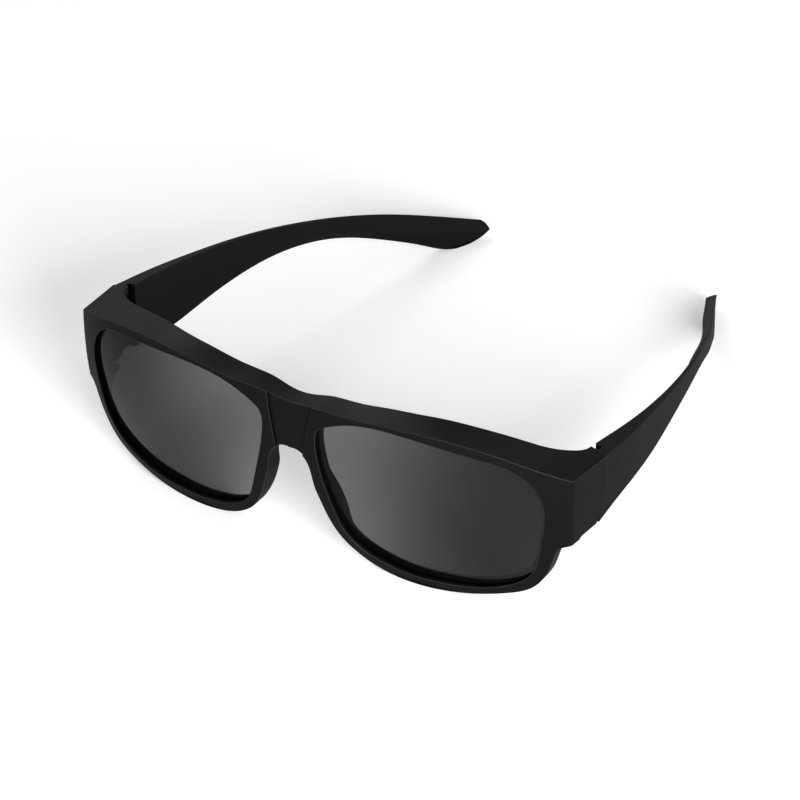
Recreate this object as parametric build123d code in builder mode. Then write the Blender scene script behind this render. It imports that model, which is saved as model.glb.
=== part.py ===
"""Fitover sunglasses: a wrapped moulded front, two tinted lenses and two bowed temples on hinges.

Millimetres. X is across the face, Y runs back from the lenses to the temple tips, Z is up. The origin
is on the table under the middle of the spectacles, which rest on their rims and on the temple tips.
The half with positive X is modelled and mirrored.
"""

import os
from math import asin, cos, degrees, radians, sin, sqrt

from build123d import *

os.makedirs("parts", exist_ok=True)

# Overall size
overall_depth = 160.0
lug_half_width = 74.2
brow_height = 50.0

# Front face: flat across the nose, wrapped round at the sides, curved from top to bottom
flat_half_width = 28.0
wrap_radius = 79.5
face_radius = 113.0
face_centre_height = 36.8
corner_inset = 1.0
corner_round = 1.8
corner_back = 14.1

# Rim
rim_depth = 4.2
rim_back_wrap_extra = 4.5
gusset_inset = 7.7
gusset_height = 7.0
gusset_back = 20.0
gusset_front = 15.6

# Lens and the groove that holds it
opening_height = 44.8
opening_nasal_x = 7.9
opening_side_margin = 6.1
opening_bottom = 3.1
lens_radius = 96.0
lens_recess = 1.0
lens_thickness = 1.2
lens_overlap = 0.8
lens_clearance = 0.05

# Brow shelf, bridge panel and nose flanges
brow_wall = 2.2
bridge_recess = 0.5
flange_opening_margin = 0.4
flange_half_width = 19.0
flange_depth = 8.1
flange_front_top = 3.0
flange_front_bottom = 6.2

# Lug and the joint between front and temple, which is upright above and curves forward below
lug_back = 29.25
lug_bottom = 22.2
lug_chamfer = 1.3
lug_front_wall = 5.7
lug_back_wall = 4.1
lug_front = 12.0
joint_curve_radius = 11.9
joint_curve_top = 30.6
joint_gap = 0.3

# Temples
temple_thickness = 3.2

# Hinge
hinge_inset = 5.1
hinge_height = 27.2
hinge_behind_lug = 1.15
knuckle_radius = 1.5
knuckle_length = 2.4
knuckle_gap = 0.1
leaf_thickness = 0.9
leaf_length = 6.0
leaf_clearance = 0.4
leaf_seat_clearance = 0.1
pin_radius = 0.65
pin_clearance = 0.03
pin_head_radius = 1.05
pin_head_height = 0.5
notch_depth = 2.1
notch_length = 2.7

# Countersunk screws that hold the hinge leaves, and the slots in all screw heads
leaf_screw_radius = 0.55
leaf_screw_head_radius = 1.0
leaf_screw_head_height = 0.45
leaf_screw_length = 2.4
leaf_screw_spread = 3.9
leaf_screw_back = 4.3
screw_clearance = 0.03
slot_width = 0.3
slot_depth = 0.25

# Cutting bodies
envelope_depth = 60.0
sweep_half_angle = 60.0
quarter_turn = 90.0
overrun = 5.0

# Outline of half a front from the middle of the bridge down the nose, under the rim and up the side,
# as shares of the corner half width and the brow height
outline_shares = (
    (0.000, 0.658), (0.030, 0.658), (0.055, 0.640), (0.094, 0.480), (0.117, 0.374),
    (0.145, 0.260), (0.178, 0.172), (0.232, 0.092), (0.301, 0.034), (0.390, 0.004),
    (0.478, 0.000), (0.623, 0.020), (0.779, 0.071), (0.860, 0.123), (0.904, 0.203),
    (0.930, 0.295), (0.945, 0.370), (0.960, 0.412), (0.990, 0.430), (1.085, 0.454),
)

# Lens opening, as shares of its width and height from its nasal side and its bottom
opening_shares = (
    (0.031, 0.875), (0.177, 0.960), (0.442, 1.000), (0.723, 0.966), (0.915, 0.880),
    (0.993, 0.720), (0.987, 0.419), (0.930, 0.167), (0.805, 0.059), (0.544, 0.004),
    (0.294, 0.020), (0.141, 0.124), (0.062, 0.363), (0.002, 0.706),
)

# Top edge of the face: share of the corner half width, share of the brow height, slope of the top
crease_shares = (
    (0.000, 0.930, -0.037), (0.061, 0.938, -0.033), (0.109, 0.948, 0.012), (0.164, 0.954, 0.096),
    (0.246, 0.960, 0.245), (0.355, 0.977, 0.321), (0.464, 0.988, 0.250), (0.587, 0.989, 0.042),
    (0.710, 0.967, -0.114), (0.833, 0.926, -0.174), (0.915, 0.886, -0.109), (0.995, 0.832, -0.030),
    (1.093, 0.768, -0.030),
)

# Rear edge of the brow shelf in plan: share of the corner half width, share of the lug depth
brow_back_shares = (
    (0.000, 0.226), (0.061, 0.235), (0.109, 0.244), (0.164, 0.236), (0.246, 0.217),
    (0.355, 0.214), (0.464, 0.249), (0.587, 0.356), (0.710, 0.515), (0.833, 0.698),
    (0.915, 0.832), (0.945, 0.930), (0.950, 1.000),
)

# Side of the front: share of the brow height, then shares of the lug half width at the face and at
# the rear of the lug
side_shares = (
    (-0.100, 0.965, 0.990), (0.240, 0.970, 0.993), (0.430, 0.980, 0.998), (0.510, 0.983, 1.000),
    (0.620, 0.9845, 1.000), (0.828, 0.9865, 1.000), (1.100, 0.9905, 1.000),
)

# Rear edge of the nose flange: share of the flange depth, share of the brow height
flange_shares = (
    (0.460, 0.640), (0.640, 0.540), (0.820, 0.458), (0.950, 0.380), (1.000, 0.316),
    (0.960, 0.240), (0.820, 0.140),
)

# Half of the bridge panel at its top and its bottom, as shares of the corner half width and height
panel_shares = ((0.098, 1.100), (0.092, 0.957), (0.056, 0.652), (0.052, 0.500))

# Temple sections from front to tip: depth as a share of the overall depth, outer face of the lug half
# width, top, bottom and inner ridge of the brow height, then shares of the temple thickness for the
# width of the top face, the rise of its inner edge, how far in the ridge and the foot stand, how far
# the foot drops and how far the bottom leans out
temple_shares = (
    (0.151, 1.0024, 0.835, 0.452, 0.532, 1.53, 0.14, 1.46, 1.06, 0.00, 0.00),
    (0.214, 0.9927, 0.796, 0.460, 0.516, 1.35, 0.23, 1.38, 1.06, 0.53, 0.00),
    (0.288, 0.9830, 0.755, 0.468, 0.498, 1.04, 0.19, 1.31, 1.06, 1.30, 0.00),
    (0.382, 0.9569, 0.703, 0.461, 0.498, 0.65, 0.05, 1.14, 1.03, 0.70, 0.00),
    (0.476, 0.9243, 0.647, 0.473, 0.499, 0.41, 0.00, 1.03, 0.94, 0.48, 0.00),
    (0.570, 0.8819, 0.581, 0.462, 0.473, 0.33, 0.00, 0.94, 0.81, 0.41, 0.00),
    (0.664, 0.8241, 0.505, 0.400, 0.420, 0.33, -0.09, 0.97, 0.77, 0.19, 0.00),
    (0.738, 0.7695, 0.435, 0.304, 0.338, 0.30, -0.19, 0.94, 0.72, 0.00, 0.00),
    (0.8075, 0.7073, 0.360, 0.198, 0.256, 0.28, -0.22, 0.94, 0.72, 0.00, 0.00),
    (0.8625, 0.6492, 0.293, 0.105, 0.194, 0.28, -0.22, 0.97, 0.75, 0.00, 0.15),
    (0.9125, 0.6001, 0.224, 0.018, 0.140, 0.28, -0.22, 1.00, 0.81, 0.00, 0.16),
    (0.956, 0.5597, 0.161, -0.008, 0.092, 0.28, -0.22, 1.03, 0.84, 0.00, 0.04),
    (1.000, 0.5178, 0.097, -0.008, 0.056, 0.28, -0.16, 1.06, 0.84, 0.00, -0.22),
    (1.031, 0.4879, 0.052, -0.010, 0.022, 0.28, -0.16, 1.06, 0.84, 0.00, -0.31),
)

# Rounded end of the temple seen from the side: shares of overall depth and brow height
temple_end_shares = (
    (0.940, -0.020), (0.959, 0.001), (0.972, 0.011), (0.984, 0.026), (0.992, 0.047),
    (0.9975, 0.066), (1.000, 0.086), (0.9965, 0.102), (0.985, 0.124),
)

corner_half_width = lug_half_width - corner_inset
opening_width = corner_half_width - (opening_nasal_x + opening_side_margin)
rim_back_wrap_radius = wrap_radius + rim_back_wrap_extra
gusset_x = lug_half_width - gusset_inset
hinge_x = lug_half_width - hinge_inset
seat_x = hinge_x + knuckle_radius
front_y = -overall_depth / 2
hinge_y = front_y + lug_back + hinge_behind_lug
barrel_length = 3 * knuckle_length + 2 * knuckle_gap
side_reach = lug_half_width + overrun
high = brow_height + overrun


def at_depth(depth):
    """Upright plane across the face, a depth behind the front of the bridge."""
    return Plane.XZ.offset(-(front_y + depth))


def face_depth(x, z):
    """Depth of the front face behind the front of the bridge."""
    beyond = max(0, x - flat_half_width)
    rise = z - face_centre_height
    wrap = wrap_radius - sqrt(wrap_radius**2 - beyond**2)
    return wrap + face_radius - sqrt(face_radius**2 - rise**2)


def wrapped(near, near_wrap, far, far_wrap, radius, mode=Mode.ADD):
    """Body between two faces that are wrapped in plan and curved from top to bottom."""
    tilt = radians(sweep_half_angle)
    axis_y = front_y + radius
    first = Plane(
        origin=(0, axis_y, face_centre_height), x_dir=(1, 0, 0), z_dir=(0, sin(tilt), -cos(tilt))
    )
    with BuildSketch(first) as section:
        with BuildLine():
            ends = []
            for recess, wrap in ((near, near_wrap), (far, far_wrap)):
                turn = degrees(asin((side_reach - flat_half_width) / wrap))
                flat = Line((0, radius - recess), (flat_half_width, radius - recess))
                bend = CenterArc((flat_half_width, radius - recess - wrap), wrap, quarter_turn, -turn)
                ends.append((flat @ 0, bend @ 1))
            Line(ends[0][0], ends[1][0])
            Line(ends[0][1], ends[1][1])
        make_face()
    revolve(
        section.sketch,
        axis=Axis((0, axis_y, face_centre_height), (-1, 0, 0)),
        revolution_arc=2 * sweep_half_angle,
        mode=mode,
    )


def top_section(depth, drop):
    """Section below the top of the front at one depth, lowered by a drop."""
    points = []
    for x_share, z_share, slope in crease_shares:
        x, z = x_share * corner_half_width, z_share * brow_height
        points.append((x, z + slope * (depth - face_depth(x, z)) - drop))
    with BuildSketch(at_depth(depth)) as section:
        with BuildLine():
            top = Spline(*points)
            Polyline(top @ 0, (0, -overrun), ((top @ 1).X, -overrun), top @ 1)
        make_face()
    return section.sketch


def side_section(depth):
    """Section inside the sides of the front at one depth."""
    share = (depth - corner_back) / (lug_back - corner_back)
    points = [
        ((near + (far - near) * share) * lug_half_width, z_share * brow_height)
        for z_share, near, far in side_shares
    ]
    with BuildSketch(at_depth(depth)) as section:
        with BuildLine():
            side = Spline(*points)
            Polyline(side @ 0, (0, (side @ 0).Y), (0, (side @ 1).Y), side @ 1)
        make_face()
    return section.sketch


def opening_sketch(margin):
    """Lens opening grown all round by a margin."""
    places = [
        (opening_nasal_x + x * opening_width, opening_bottom + z * opening_height)
        for x, z in opening_shares
    ]
    loop = Spline(*places, periodic=True)
    points = []
    for place in places:
        share = loop.param_at_point(place)
        along = loop % share
        points.append(loop @ share + margin * Vector(-along.Y, along.X))
    with BuildSketch(at_depth(0)) as section:
        with BuildLine():
            grown = Spline(*points, periodic=True, mode=Mode.PRIVATE)
            for quarter in range(4):
                add(grown.trim(quarter / 4, (quarter + 1) / 4))
        make_face()
    return section.sketch


def outline_sketch():
    """Half of the front seen from the front, open above and to the side."""
    with BuildSketch(at_depth(0)) as section:
        with BuildLine():
            edge = Spline(*[(x * corner_half_width, z * brow_height) for x, z in outline_shares])
            far = side_reach + overrun
            Polyline(edge @ 1, (far, (edge @ 1).Y), (far, high), (0, high), edge @ 0)
        make_face()
    return section.sketch


def slot(place, reach):
    """Driver slot across a screw head whose top is the given plane."""
    with BuildSketch(place) as section:
        Rectangle(reach, slot_width)
    extrude(section.sketch, amount=-slot_depth, mode=Mode.SUBTRACT)


def leaf_screws(direction, grow=0):
    """Pair of countersunk screws through a hinge leaf, or with a clearance the holes for them."""
    for step in (-1, 1):
        centre = (
            seat_x - leaf_thickness,
            hinge_y + direction * leaf_screw_back,
            hinge_height + step * leaf_screw_spread / 2,
        )
        head = leaf_screw_head_radius + grow
        shank = leaf_screw_radius + grow
        with BuildSketch(Plane(origin=centre, x_dir=(0, 1, 0), z_dir=(0, 0, -1))) as section:
            with BuildLine():
                Polyline(
                    *(((0, -overrun), (head, -overrun)) if grow else ((0, 0),)),
                    (head, 0),
                    (shank, leaf_screw_head_height),
                    (shank, leaf_screw_length + grow),
                    (0, leaf_screw_length + grow),
                    close=True,
                )
            make_face()
        revolve(
            section.sketch,
            axis=Axis(centre, (1, 0, 0)),
            mode=Mode.SUBTRACT if grow else Mode.ADD,
        )
        if not grow:
            slot(Plane(origin=centre, x_dir=(0, 1, 0), z_dir=(-1, 0, 0)), 3 * head)


def hinge_leaf(direction, knuckles):
    """Leaf whose plate runs off from the pin in a direction along Y, with its own knuckles."""
    pitch = knuckle_length + knuckle_gap
    plate_end = hinge_y + direction * leaf_length
    middle = (hinge_y + direction * (knuckle_radius + leaf_clearance) + plate_end) / 2
    with Locations((seat_x - leaf_thickness / 2, middle, hinge_height)):
        Box(leaf_thickness, 2 * abs(plate_end - middle), barrel_length)
    for place in knuckles:
        with Locations((hinge_x, hinge_y, hinge_height + place * pitch)):
            Cylinder(knuckle_radius, knuckle_length)
        root = (seat_x - leaf_thickness / 2, (hinge_y + middle) / 2, hinge_height + place * pitch)
        with Locations(root):
            Box(leaf_thickness, abs(middle - hinge_y), knuckle_length)
    with Locations((hinge_x, hinge_y, hinge_height)):
        Cylinder(pin_radius + pin_clearance, 2 * barrel_length, mode=Mode.SUBTRACT)
    leaf_screws(direction, screw_clearance)


# Everything the front may fill: behind the face, inside the sides and below the brow
with BuildPart() as face_limit:
    wrapped(0, wrap_radius, envelope_depth, wrap_radius, face_radius)
    loft([side_section(-overrun), side_section(lug_back + overrun)], ruled=True, mode=Mode.INTERSECT)
    corner = face_limit.edges().sort_by_distance(
        (corner_half_width, front_y + corner_back, face_centre_height)
    )
    fillet(corner[0], corner_round)
    loft([top_section(-overrun, 0), top_section(lug_back + overrun, 0)], ruled=True, mode=Mode.INTERSECT)

# Nose flange: the nasal wall of the rim carried further back
with BuildPart() as flange:
    Box(
        flange_half_width,
        overall_depth,
        joint_curve_top,
        align=(Align.MIN, Align.CENTER, Align.MIN),
    )
    extrude(
        opening_sketch(flange_opening_margin), amount=envelope_depth, both=True, mode=Mode.SUBTRACT
    )
    with BuildSketch(Plane.YZ):
        with BuildLine():
            back = Spline(
                *[(front_y + y * flange_depth, z * brow_height) for y, z in flange_shares]
            )
            Polyline(
                back @ 1,
                ((back @ 1).X, -overrun),
                (front_y + flange_front_bottom, -overrun),
                (front_y + flange_front_top, (back @ 0).Y),
                back @ 0,
            )
        make_face()
    extrude(amount=side_reach, mode=Mode.INTERSECT)

# Rim plate and nose flange
with BuildPart() as rim:
    wrapped(0, wrap_radius, rim_depth, rim_back_wrap_radius, face_radius)
    add(flange.part)
    extrude(outline_sketch(), amount=envelope_depth, both=True, mode=Mode.INTERSECT)

# Gusset that carries the lug on the rim
with BuildPart() as gusset:
    with BuildSketch(Plane.YZ.offset(gusset_x)):
        with BuildLine():
            low = lug_bottom - gusset_height
            hollow = EllipticalCenterArc(
                (front_y + gusset_back, low),
                gusset_back - gusset_front,
                gusset_height,
                start_angle=quarter_turn,
                arc_size=quarter_turn,
            )
            Polyline(
                hollow @ 1,
                (front_y + corner_back, low),
                (front_y + corner_back, lug_bottom + lug_chamfer),
                (front_y + gusset_back, lug_bottom + lug_chamfer),
                hollow @ 0,
            )
        make_face()
    extrude(amount=side_reach - gusset_x)
    extrude(outline_sketch(), amount=envelope_depth, both=True, mode=Mode.INTERSECT)

# Lug: the side wall that runs back to the joint
with BuildPart() as lug:
    with BuildSketch():
        with BuildLine():
            Polyline(
                (lug_half_width - lug_front_wall, front_y + lug_front),
                (side_reach, front_y + lug_front),
                (side_reach, front_y + lug_back + overrun),
                (lug_half_width - lug_back_wall, front_y + lug_back + overrun),
                (lug_half_width - lug_back_wall, front_y + lug_back),
                close=True,
            )
        make_face()
    extrude(amount=high)
    with BuildSketch(Plane.YZ):
        with BuildLine():
            drop = joint_curve_top - lug_bottom - lug_chamfer
            fall = degrees(asin(drop / joint_curve_radius))
            centre = (front_y + lug_back - joint_curve_radius, joint_curve_top)
            joint = CenterArc(centre, joint_curve_radius, 0, -fall)
            Polyline(
                joint @ 1,
                ((joint @ 1).X - lug_chamfer, lug_bottom),
                (front_y + lug_front, lug_bottom),
                (front_y + lug_front, high),
                (front_y + lug_back, high),
                joint @ 0,
            )
        make_face()
    extrude(amount=side_reach, mode=Mode.INTERSECT)

# Brow shelf that overhangs the rims and closes the gap to the forehead
with BuildPart() as brow:
    with BuildSketch():
        with BuildLine():
            rear = Spline(
                *[(x * corner_half_width, front_y + y * lug_back) for x, y in brow_back_shares]
            )
            Polyline(
                rear @ 1,
                (side_reach, (rear @ 1).Y),
                (side_reach, front_y - overrun),
                (0, front_y - overrun),
                rear @ 0,
            )
        make_face()
    extrude(amount=high + overrun)
    loft(
        [top_section(-overrun, brow_wall), top_section(lug_back + overrun, brow_wall)],
        ruled=True,
        mode=Mode.SUBTRACT,
    )

# Cutters for the sunk bridge panel, the lens opening and the lens groove
with BuildPart() as panel:
    wrapped(-overrun, wrap_radius + overrun, bridge_recess, wrap_radius - bridge_recess, face_radius)
    with BuildSketch(at_depth(0)):
        with BuildLine():
            points = [(x * corner_half_width, z * brow_height) for x, z in panel_shares]
            Polyline((0, points[0][1]), *points, (0, points[-1][1]), close=True)
        make_face()
    extrude(amount=envelope_depth, both=True, mode=Mode.INTERSECT)

with BuildPart() as opening:
    wrapped(-overrun, wrap_radius + overrun, rim_depth, rim_back_wrap_radius, face_radius)
    extrude(opening_sketch(0), amount=envelope_depth, both=True, mode=Mode.INTERSECT)

with BuildPart() as groove:
    near = lens_recess - lens_clearance
    far = lens_recess + lens_thickness + lens_clearance
    wrapped(near, wrap_radius - near, far, wrap_radius - far, lens_radius)
    extrude(
        opening_sketch(lens_overlap + lens_clearance),
        amount=envelope_depth,
        both=True,
        mode=Mode.INTERSECT,
    )

# Front: one moulding of rims, bridge, brow, nose flanges and lugs
with BuildPart() as front_frame:
    add(rim.part)
    add(gusset.part)
    add(lug.part)
    add(brow.part)
    add(face_limit.part, mode=Mode.INTERSECT)
    add([panel.part, opening.part, groove.part], mode=Mode.SUBTRACT)
    with Locations((seat_x, hinge_y, hinge_height)):
        Box(
            side_reach - seat_x,
            2 * (leaf_length + leaf_seat_clearance),
            barrel_length + 2 * leaf_seat_clearance,
            align=(Align.MAX, Align.CENTER, Align.CENTER),
            mode=Mode.SUBTRACT,
        )
    leaf_screws(-1, screw_clearance)
    split(bisect_by=Plane.XY, keep=Keep.TOP)
    mirror(about=Plane.YZ)
front_frame.part.label = "front_frame"
export_step(front_frame.part, "parts/front_frame.step")

# Lens: a thin curved pane held in the groove
with BuildPart() as lens_right:
    far = lens_recess + lens_thickness
    wrapped(lens_recess, wrap_radius - lens_recess, far, wrap_radius - far, lens_radius)
    extrude(opening_sketch(lens_overlap), amount=envelope_depth, both=True, mode=Mode.INTERSECT)
lens_right.part.label = "lens_right"
export_step(lens_right.part, "parts/lens_right.step")

# Temple: bowed arm with a wide, tilted top at the joint, a bevelled inner side and a dropped tip
with BuildPart() as temple_right:
    for back, out, top, base, ridge_top, width, rise, ridge, foot, drop, lean in temple_shares:
        x, top_z, base_z = out * lug_half_width, top * brow_height, base * brow_height
        with BuildSketch(at_depth(back * overall_depth)):
            with BuildLine():
                Polyline(
                    (x, top_z),
                    (x - width * temple_thickness, top_z + rise * temple_thickness),
                    (x - ridge * temple_thickness, ridge_top * brow_height),
                    (x - foot * temple_thickness, base_z - drop * temple_thickness),
                    (x + lean * temple_thickness, base_z),
                    close=True,
                )
            make_face()
    loft()
    with BuildSketch(Plane.YZ):
        with BuildLine():
            radius = joint_curve_radius + joint_gap
            fall = degrees(asin((joint_curve_top - lug_bottom) / radius))
            centre = (front_y + lug_back - joint_curve_radius, joint_curve_top)
            joint = CenterArc(centre, radius, 0, -fall)
            end = Spline(
                *[(front_y + y * overall_depth, z * brow_height) for y, z in temple_end_shares]
            )
            Polyline(
                end @ 1,
                ((end @ 1).X, high),
                ((joint @ 0).X, high),
                joint @ 0,
            )
            Polyline(
                joint @ 1,
                ((joint @ 1).X, -overrun),
                ((end @ 0).X, -overrun),
                end @ 0,
            )
        make_face()
    extrude(amount=side_reach, mode=Mode.INTERSECT)
    split(bisect_by=Plane.XY, keep=Keep.TOP)
    split(bisect_by=at_depth(overall_depth), keep=Keep.TOP)
    # Notch that clears the barrel, and the seat of the hinge leaf
    with Locations((hinge_x + notch_depth, hinge_y, hinge_height - barrel_length / 2 - joint_gap)):
        Box(
            side_reach - hinge_x,
            2 * (notch_length + joint_gap - hinge_behind_lug),
            high,
            align=(Align.MAX, Align.CENTER, Align.MIN),
            mode=Mode.SUBTRACT,
        )
    with Locations((seat_x, hinge_y, hinge_height)):
        Box(
            side_reach - seat_x,
            2 * (leaf_length + leaf_seat_clearance),
            barrel_length + 2 * leaf_seat_clearance,
            align=(Align.MAX, Align.CENTER, Align.CENTER),
            mode=Mode.SUBTRACT,
        )
    leaf_screws(1, screw_clearance)
temple_right.part.label = "temple_right"
export_step(temple_right.part, "parts/temple_right.step")

# Hinge leaves: a plate on the plastic and the knuckles of its side, split between front and temple
with BuildPart() as front_hinge_leaf_right:
    hinge_leaf(-1, (-1, 1))
front_hinge_leaf_right.part.label = "front_hinge_leaf_right"
export_step(front_hinge_leaf_right.part, "parts/front_hinge_leaf_right.step")

with BuildPart() as temple_hinge_leaf_right:
    hinge_leaf(1, (0,))
temple_hinge_leaf_right.part.label = "temple_hinge_leaf_right"
export_step(temple_hinge_leaf_right.part, "parts/temple_hinge_leaf_right.step")

# Hinge screw: the pin through the knuckles with a slotted head on top
with BuildPart() as hinge_screw_right:
    with Locations((hinge_x, hinge_y, hinge_height)):
        Cylinder(pin_radius, barrel_length)
    with Locations((hinge_x, hinge_y, hinge_height + barrel_length / 2)):
        Cylinder(
            pin_head_radius, pin_head_height, align=(Align.CENTER, Align.CENTER, Align.MIN)
        )
    head = Plane((hinge_x, hinge_y, hinge_height + barrel_length / 2 + pin_head_height))
    slot(head, 3 * pin_head_radius)
hinge_screw_right.part.label = "hinge_screw_right"
export_step(hinge_screw_right.part, "parts/hinge_screw_right.step")

# Leaf screws
with BuildPart() as front_leaf_screws_right:
    leaf_screws(-1)
front_leaf_screws_right.part.label = "front_leaf_screws_right"
export_step(front_leaf_screws_right.part, "parts/front_leaf_screws_right.step")

with BuildPart() as temple_leaf_screws_right:
    leaf_screws(1)
temple_leaf_screws_right.part.label = "temple_leaf_screws_right"
export_step(temple_leaf_screws_right.part, "parts/temple_leaf_screws_right.step")

# Left side
for right in (
    lens_right,
    temple_right,
    front_hinge_leaf_right,
    temple_hinge_leaf_right,
    hinge_screw_right,
    front_leaf_screws_right,
    temple_leaf_screws_right,
):
    with BuildPart() as left:
        mirror(right.part, about=Plane.YZ)
    left.part.label = right.part.label.replace("right", "left")
    export_step(left.part, f"parts/{left.part.label}.step")
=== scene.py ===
"""Fitover sunglasses on a white table, dressed for a studio photograph.

Metres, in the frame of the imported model: X across the face, Y back from the lenses to the temple tips,
Z up from the table.
"""

import math

import bpy
from mathutils import Matrix, Vector

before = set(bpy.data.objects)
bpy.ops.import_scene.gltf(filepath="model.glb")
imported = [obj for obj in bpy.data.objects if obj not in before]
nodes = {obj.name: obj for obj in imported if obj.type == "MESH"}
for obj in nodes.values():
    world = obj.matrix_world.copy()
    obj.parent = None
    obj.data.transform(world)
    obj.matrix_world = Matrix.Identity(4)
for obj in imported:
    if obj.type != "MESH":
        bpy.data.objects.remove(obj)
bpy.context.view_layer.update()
MM = 0.001

# Patches that use has polished, and the eroded grain, which is about 0.1 mm wide and is drawn as fine as
# still shows
polished_patch = 9 * MM
drawn_grain = 0.3 * MM
grain_depth = 0.02 * MM

# Painted edge highlights: cosine of the lean of the rounded normal where the painted highlight starts, and
# where it is full
highlight_from, highlight_full = 0.97, 0.87

# Painted shade in recesses: how near another surface has to be, and the open shares below which a wall is
# painted black and above which it has its own colour
shade_reach = 1.6 * MM
shade_full_below, shade_none_above = 0.55, 0.92

# Distances of a lens's nasal and temporal edges from the middle of the face, and the faint waves of its
# faces
nasal_edge, temporal_edge = 8 * MM, 66 * MM
lens_wave = 14 * MM
lens_wave_depth = 0.1 * MM

# Scratches that tumbling leaves on steel
scratch_width = 0.15 * MM
scratch_depth = 0.02 * MM


def linear(colour):
    """Linear colour with full alpha of an sRGB hex value."""
    parts = [int(colour[at : at + 2], 16) / 255 for at in (1, 3, 5)]
    return (*[c / 12.92 if c <= 0.04045 else ((c + 0.055) / 1.055) ** 2.4 for c in parts], 1)


def put(tree, kind, inputs=None, **settings):
    """A new node of a tree with its settings, and its inputs as values or as links."""
    made = tree.nodes.new(kind)
    for name, value in settings.items():
        setattr(made, name, value)
    for name, value in (inputs or {}).items():
        if isinstance(value, bpy.types.NodeSocket):
            tree.links.new(value, made.inputs[name])
        else:
            made.inputs[name].default_value = value
    return made


def new_material(name):
    """An empty node material and its output node."""
    material = bpy.data.materials.new(name)
    material.use_nodes = True
    tree = material.node_tree
    tree.nodes.clear()
    return material, tree, tree.nodes.new("ShaderNodeOutputMaterial")


def pattern_place(tree, size, stretch=(1, 1, 1)):
    """Object coordinates scaled so that one pattern cell is a size in metres."""
    where = put(tree, "ShaderNodeTexCoord")
    scaled = put(
        tree,
        "ShaderNodeMapping",
        {"Vector": where.outputs["Object"], "Scale": [1 / (size * s) for s in stretch]},
    )
    return scaled.outputs["Vector"]


def spread(tree, value, low, high):
    """A 0 to 1 value laid over a range."""
    ranged = put(
        tree, "ShaderNodeMapRange", {"Value": value, "To Min": low, "To Max": high}
    )
    return ranged.outputs["Result"]


def moulded_plastic(name, dark, light, edge_highlight, rough, grain, specular, edge_round):
    """Injection moulded, spark eroded plastic: a fine dull grain that softens every reflection, with
    slightly shinier and duller patches where the mould is polished by use. Its edges are rounded and
    get a painted highlight, a paler colour. Its narrow recesses get painted shade: black, without
    reflection."""
    material, tree, output = new_material(name)
    patches = put(
        tree,
        "ShaderNodeTexNoise",
        {"Vector": pattern_place(tree, polished_patch), "Scale": 1, "Detail": 2},
    )
    pits = put(
        tree,
        "ShaderNodeTexNoise",
        {"Vector": pattern_place(tree, drawn_grain), "Scale": 1, "Detail": 1, "Roughness": 0.6},
    )
    soft_edge = put(tree, "ShaderNodeBevel", {"Radius": edge_round}, samples=8)
    bump = put(
        tree,
        "ShaderNodeBump",
        {
            "Height": pits.outputs["Fac"],
            "Normal": soft_edge.outputs["Normal"],
            "Strength": grain,
            "Distance": grain_depth,
        },
    )
    shade = put(
        tree,
        "ShaderNodeMix",
        {"Factor": patches.outputs["Fac"], 6: linear(dark), 7: linear(light)},
        data_type="RGBA",
    )
    # Painted highlight on the edges, where the rounded normal leans away from the normal of the face
    face = put(tree, "ShaderNodeNewGeometry")
    lean = put(
        tree,
        "ShaderNodeVectorMath",
        {0: soft_edge.outputs["Normal"], 1: face.outputs["Normal"]},
        operation="DOT_PRODUCT",
    )
    highlight_share = put(
        tree,
        "ShaderNodeMapRange",
        {"Value": lean.outputs["Value"], "From Min": highlight_from, "From Max": highlight_full},
    )
    highlighted = put(
        tree,
        "ShaderNodeMix",
        {"Factor": highlight_share.outputs["Result"], 6: shade.outputs[2], 7: linear(edge_highlight)},
        data_type="RGBA",
    )
    # Painted shade in recesses, where another surface is near: a black colour and no reflection
    shade_occlusion = put(tree, "ShaderNodeAmbientOcclusion", {"Distance": shade_reach}, samples=8)
    unshaded_share = put(
        tree,
        "ShaderNodeMapRange",
        {"Value": shade_occlusion.outputs["AO"], "From Min": shade_full_below, "From Max": shade_none_above},
    )
    colour = put(
        tree,
        "ShaderNodeMix",
        {"Factor": unshaded_share.outputs["Result"], 6: linear("#020202"), 7: highlighted.outputs[2]},
        data_type="RGBA",
    )
    shader = put(
        tree,
        "ShaderNodeBsdfPrincipled",
        {
            "Base Color": colour.outputs[2],
            "Roughness": spread(tree, patches.outputs["Fac"], rough - 0.04, rough + 0.04),
            "Normal": bump.outputs["Normal"],
            "Specular IOR Level": spread(tree, unshaded_share.outputs["Result"], 0, specular),
            "IOR": 1.53,
        },
    )
    tree.links.new(shader.outputs["BSDF"], output.inputs["Surface"])
    return material


def tinted_polycarbonate(name, nasal, temporal):
    """Hard coated, tinted polycarbonate: smooth and glossy, a grey filter that is a little lighter
    beside the nose. Each of its two faces takes the share of the light that its alpha says."""
    material, tree, output = new_material(name)
    where = put(tree, "ShaderNodeTexCoord")
    apart = put(tree, "ShaderNodeSeparateXYZ", {"Vector": where.outputs["Object"]})
    across = put(tree, "ShaderNodeMath", {0: apart.outputs["X"]}, operation="ABSOLUTE")
    tint = put(
        tree,
        "ShaderNodeMapRange",
        {
            "Value": across.outputs[0],
            "From Min": nasal_edge,
            "From Max": temporal_edge,
            "To Min": nasal,
            "To Max": temporal,
        },
        interpolation_type="SMOOTHSTEP",
    )
    wave = put(
        tree,
        "ShaderNodeTexNoise",
        {"Vector": pattern_place(tree, lens_wave), "Scale": 1, "Detail": 1},
    )
    bump = put(
        tree,
        "ShaderNodeBump",
        {"Height": wave.outputs["Fac"], "Strength": 0.03, "Distance": lens_wave_depth},
    )
    shader = put(
        tree,
        "ShaderNodeBsdfPrincipled",
        {
            "Base Color": linear("#0c0c0d"),
            "Roughness": 0.08,
            "IOR": 1.58,
            "Specular IOR Level": 0.22,
            "Alpha": tint.outputs["Result"],
            "Normal": bump.outputs["Normal"],
        },
    )
    tree.links.new(shader.outputs["BSDF"], output.inputs["Surface"])
    return material


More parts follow.
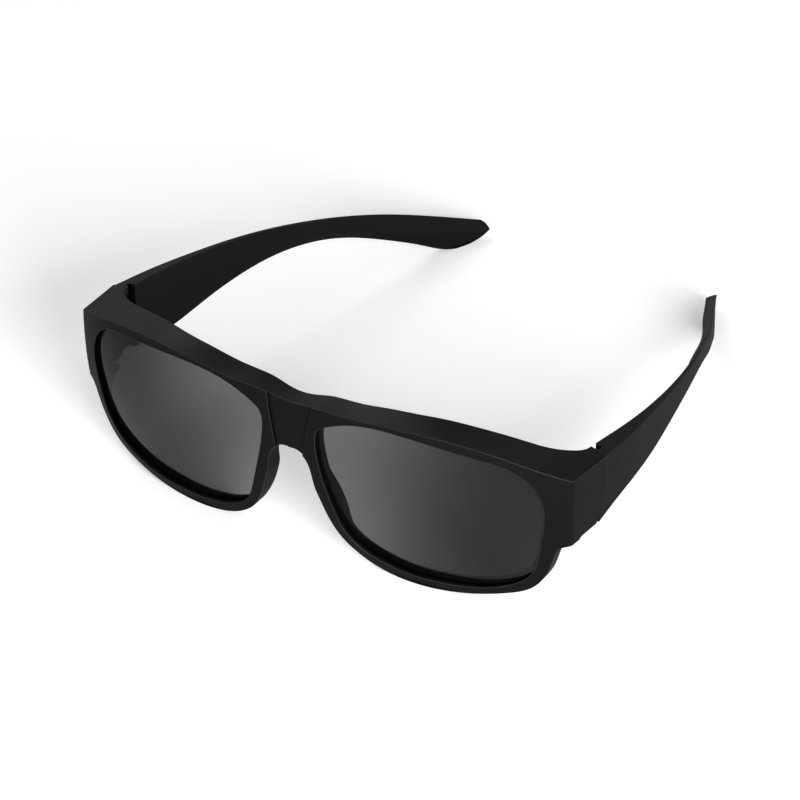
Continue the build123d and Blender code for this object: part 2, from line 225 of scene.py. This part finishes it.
def tumbled_steel(name, colour, rough, streak):
    """Stainless steel, tumbled after stamping or turning: bright metal with fine crossing scratches
    that spread its highlights."""
    material, tree, output = new_material(name)
    scratches = put(
        tree,
        "ShaderNodeTexNoise",
        {"Vector": pattern_place(tree, scratch_width, streak), "Scale": 1, "Detail": 2},
    )
    bump = put(
        tree,
        "ShaderNodeBump",
        {"Height": scratches.outputs["Fac"], "Strength": 0.25, "Distance": scratch_depth},
    )
    shader = put(
        tree,
        "ShaderNodeBsdfPrincipled",
        {
            "Base Color": linear(colour),
            "Metallic": 1,
            "Roughness": spread(tree, scratches.outputs["Fac"], rough - 0.08, rough + 0.08),
            "Normal": bump.outputs["Normal"],
        },
    )
    tree.links.new(shader.outputs["BSDF"], output.inputs["Surface"])
    return material


def white_table(name, seen_white, lit_grey, lift):
    """Plain matt white table, plain white where it is lit and seen directly or through the lenses, with
    the soft shadows of the spectacles. What it gives back to the spectacles is a duller grey."""
    material, tree, output = new_material(name)
    path = put(tree, "ShaderNodeLightPath")
    seen = put(
        tree,
        "ShaderNodeMath",
        {0: path.outputs["Is Camera Ray"], 1: path.outputs["Is Transmission Ray"]},
        operation="MAXIMUM",
    )
    shade = put(
        tree,
        "ShaderNodeMix",
        {"Factor": seen.outputs[0], 6: linear(lit_grey), 7: linear(seen_white)},
        data_type="RGBA",
    )
    paper = put(tree, "ShaderNodeBsdfDiffuse", {"Color": shade.outputs[2]})
    glow_strength = put(
        tree, "ShaderNodeMath", {0: seen.outputs[0], 1: lift}, operation="MULTIPLY"
    )
    glow = put(
        tree,
        "ShaderNodeEmission",
        {"Color": linear("#ffffff"), "Strength": glow_strength.outputs[0]},
    )
    both = put(
        tree, "ShaderNodeAddShader", {0: paper.outputs["BSDF"], 1: glow.outputs["Emission"]}
    )
    tree.links.new(both.outputs["Shader"], output.inputs["Surface"])
    return material


def smooth_by_angle(tree_name, join, angle):
    """Node tree that joins the loose triangles of a solid and shades it smooth up to an edge angle."""
    tree = bpy.data.node_groups.new(tree_name, "GeometryNodeTree")
    tree.interface.new_socket("Solid", in_out="INPUT", socket_type="NodeSocketGeometry")
    tree.interface.new_socket("Smooth solid", in_out="OUTPUT", socket_type="NodeSocketGeometry")
    start = put(tree, "NodeGroupInput")
    joined = put(
        tree, "GeometryNodeMergeByDistance", {"Geometry": start.outputs[0], "Distance": join}
    )
    turn = put(tree, "GeometryNodeInputMeshEdgeAngle")
    gentle = put(
        tree,
        "FunctionNodeCompare",
        {0: turn.outputs["Unsigned Angle"], 1: angle},
        data_type="FLOAT",
        operation="LESS_THAN",
    )
    faces = put(
        tree,
        "GeometryNodeSetShadeSmooth",
        {"Geometry": joined.outputs[0], "Shade Smooth": True},
        domain="FACE",
    )
    edges = put(
        tree,
        "GeometryNodeSetShadeSmooth",
        {"Geometry": faces.outputs[0], "Shade Smooth": gentle.outputs[0]},
        domain="EDGE",
    )
    end = put(tree, "NodeGroupOutput")
    tree.links.new(edges.outputs[0], end.inputs[0])
    return tree


def softbox(name, place, aim, size, power):
    """Lamp behind a diffusing panel at a place, turned to a point."""
    lamp = bpy.data.lights.new(name, "AREA")
    lamp.shape = "RECTANGLE"
    lamp.size, lamp.size_y = size
    lamp.energy = power
    box = bpy.data.objects.new(name, lamp)
    away = (Vector(place) - Vector(aim)).normalized()
    box.matrix_world = Matrix.Translation(place) @ away.to_track_quat("Z", "Y").to_matrix().to_4x4()
    bpy.context.scene.collection.objects.link(box)


# Camera at the photograph's viewpoint, turned by the direction that runs from the spectacles to it
camera_data = bpy.data.cameras.new("camera")
camera_data.sensor_width = 36
camera_data.lens = 155.2
camera_data.clip_start = 0.01
camera = bpy.data.objects.new("camera", camera_data)
back = Vector((0.4360, -0.7032, 0.5617)).normalized()
side = Vector((0, 0, 1)).cross(back).normalized()
turned = Matrix((side, back.cross(side), back)).transposed()
camera.matrix_world = Matrix.Translation((0.3945, -0.66355, 0.5253)) @ turned.to_4x4()
bpy.context.scene.collection.objects.link(camera)
bpy.context.scene.camera = camera

# Finishes, and the angle up to which their solids are shaded smooth
# The third colour of each plastic is its painted edge highlight
front_plastic = moulded_plastic(
    "satin_moulded_polycarbonate", "#0b0b0b", "#0e0e0e", "#343434", 0.42, 0.3, 0.12, 0.35 * MM
)
temple_plastic = moulded_plastic(
    "matt_moulded_nylon", "#0c0c0c", "#0f0f0f", "#242424", 0.48, 0.4, 0.12, 0.3 * MM
)
lens_plastic = tinted_polycarbonate("grey_tinted_polycarbonate", 0.55, 0.85)
leaf_metal = tumbled_steel("stamped_stainless_steel", "#b4b3b0", 0.34, (1, 8, 1))
screw_metal = tumbled_steel("turned_stainless_steel", "#c2c1be", 0.28, (1, 1, 1))

smooth = smooth_by_angle("smooth_solid", 0.002 * MM, math.radians(24))

finishes = {
    "front_frame": front_plastic,
    "lens": lens_plastic,
    "temple": temple_plastic,
    "front_hinge_leaf": leaf_metal,
    "temple_hinge_leaf": leaf_metal,
    "hinge_screw": screw_metal,
    "front_leaf_screws": screw_metal,
    "temple_leaf_screws": screw_metal,
}
for name, solid in nodes.items():
    finish = finishes[name.removesuffix("_left").removesuffix("_right")]
    solid.data.materials.clear()
    solid.data.materials.append(finish)
    softened = solid.modifiers.new("smooth", "NODES")
    softened.node_group = smooth

# Table that reaches past the view on every side
table = bpy.data.meshes.new("table")
reach = 4.0
table.from_pydata(
    [(-reach, -reach, 0), (reach, -reach, 0), (reach, reach, 0), (-reach, reach, 0)],
    [],
    [(0, 1, 2, 3)],
)
table.materials.append(white_table("white_table", "#fafafa", "#a0a0a0", 0.17))
table_top = bpy.data.objects.new("table_top", table)
bpy.context.scene.collection.objects.link(table_top)

# Light: low behind to the left, high to the left, in front to the right, low in front, behind to the right
softbox("back_light", (-0.75, 0.95, 0.55), (0, 0, 0.02), (0.8, 0.5), 0.5)
softbox("left_light", (-0.8, 0.3, 0.95), (0, 0, 0.02), (0.6, 0.6), 3.0)
softbox("right_light", (0.8, -0.6, 0.4), (0.05, -0.03, 0.02), (0.5, 0.5), 17)
softbox("front_light", (0.1, -1.0, 0.3), (0, 0, 0.02), (0.8, 0.4), 4.4)
softbox("far_light", (0.7, 0.9, 0.7), (0, 0, 0.02), (0.9, 0.7), 0.9)

# Faint light from the whole studio
world = bpy.data.worlds.new("studio")
bpy.context.scene.world = world
world.use_nodes = True
world.node_tree.nodes.clear()
sky = put(
    world.node_tree, "ShaderNodeBackground", {"Color": linear("#ffffff"), "Strength": 0.3}
)
put(world.node_tree, "ShaderNodeOutputWorld", {"Surface": sky.outputs[0]})

bpy.context.scene.view_settings.view_transform = "Standard"
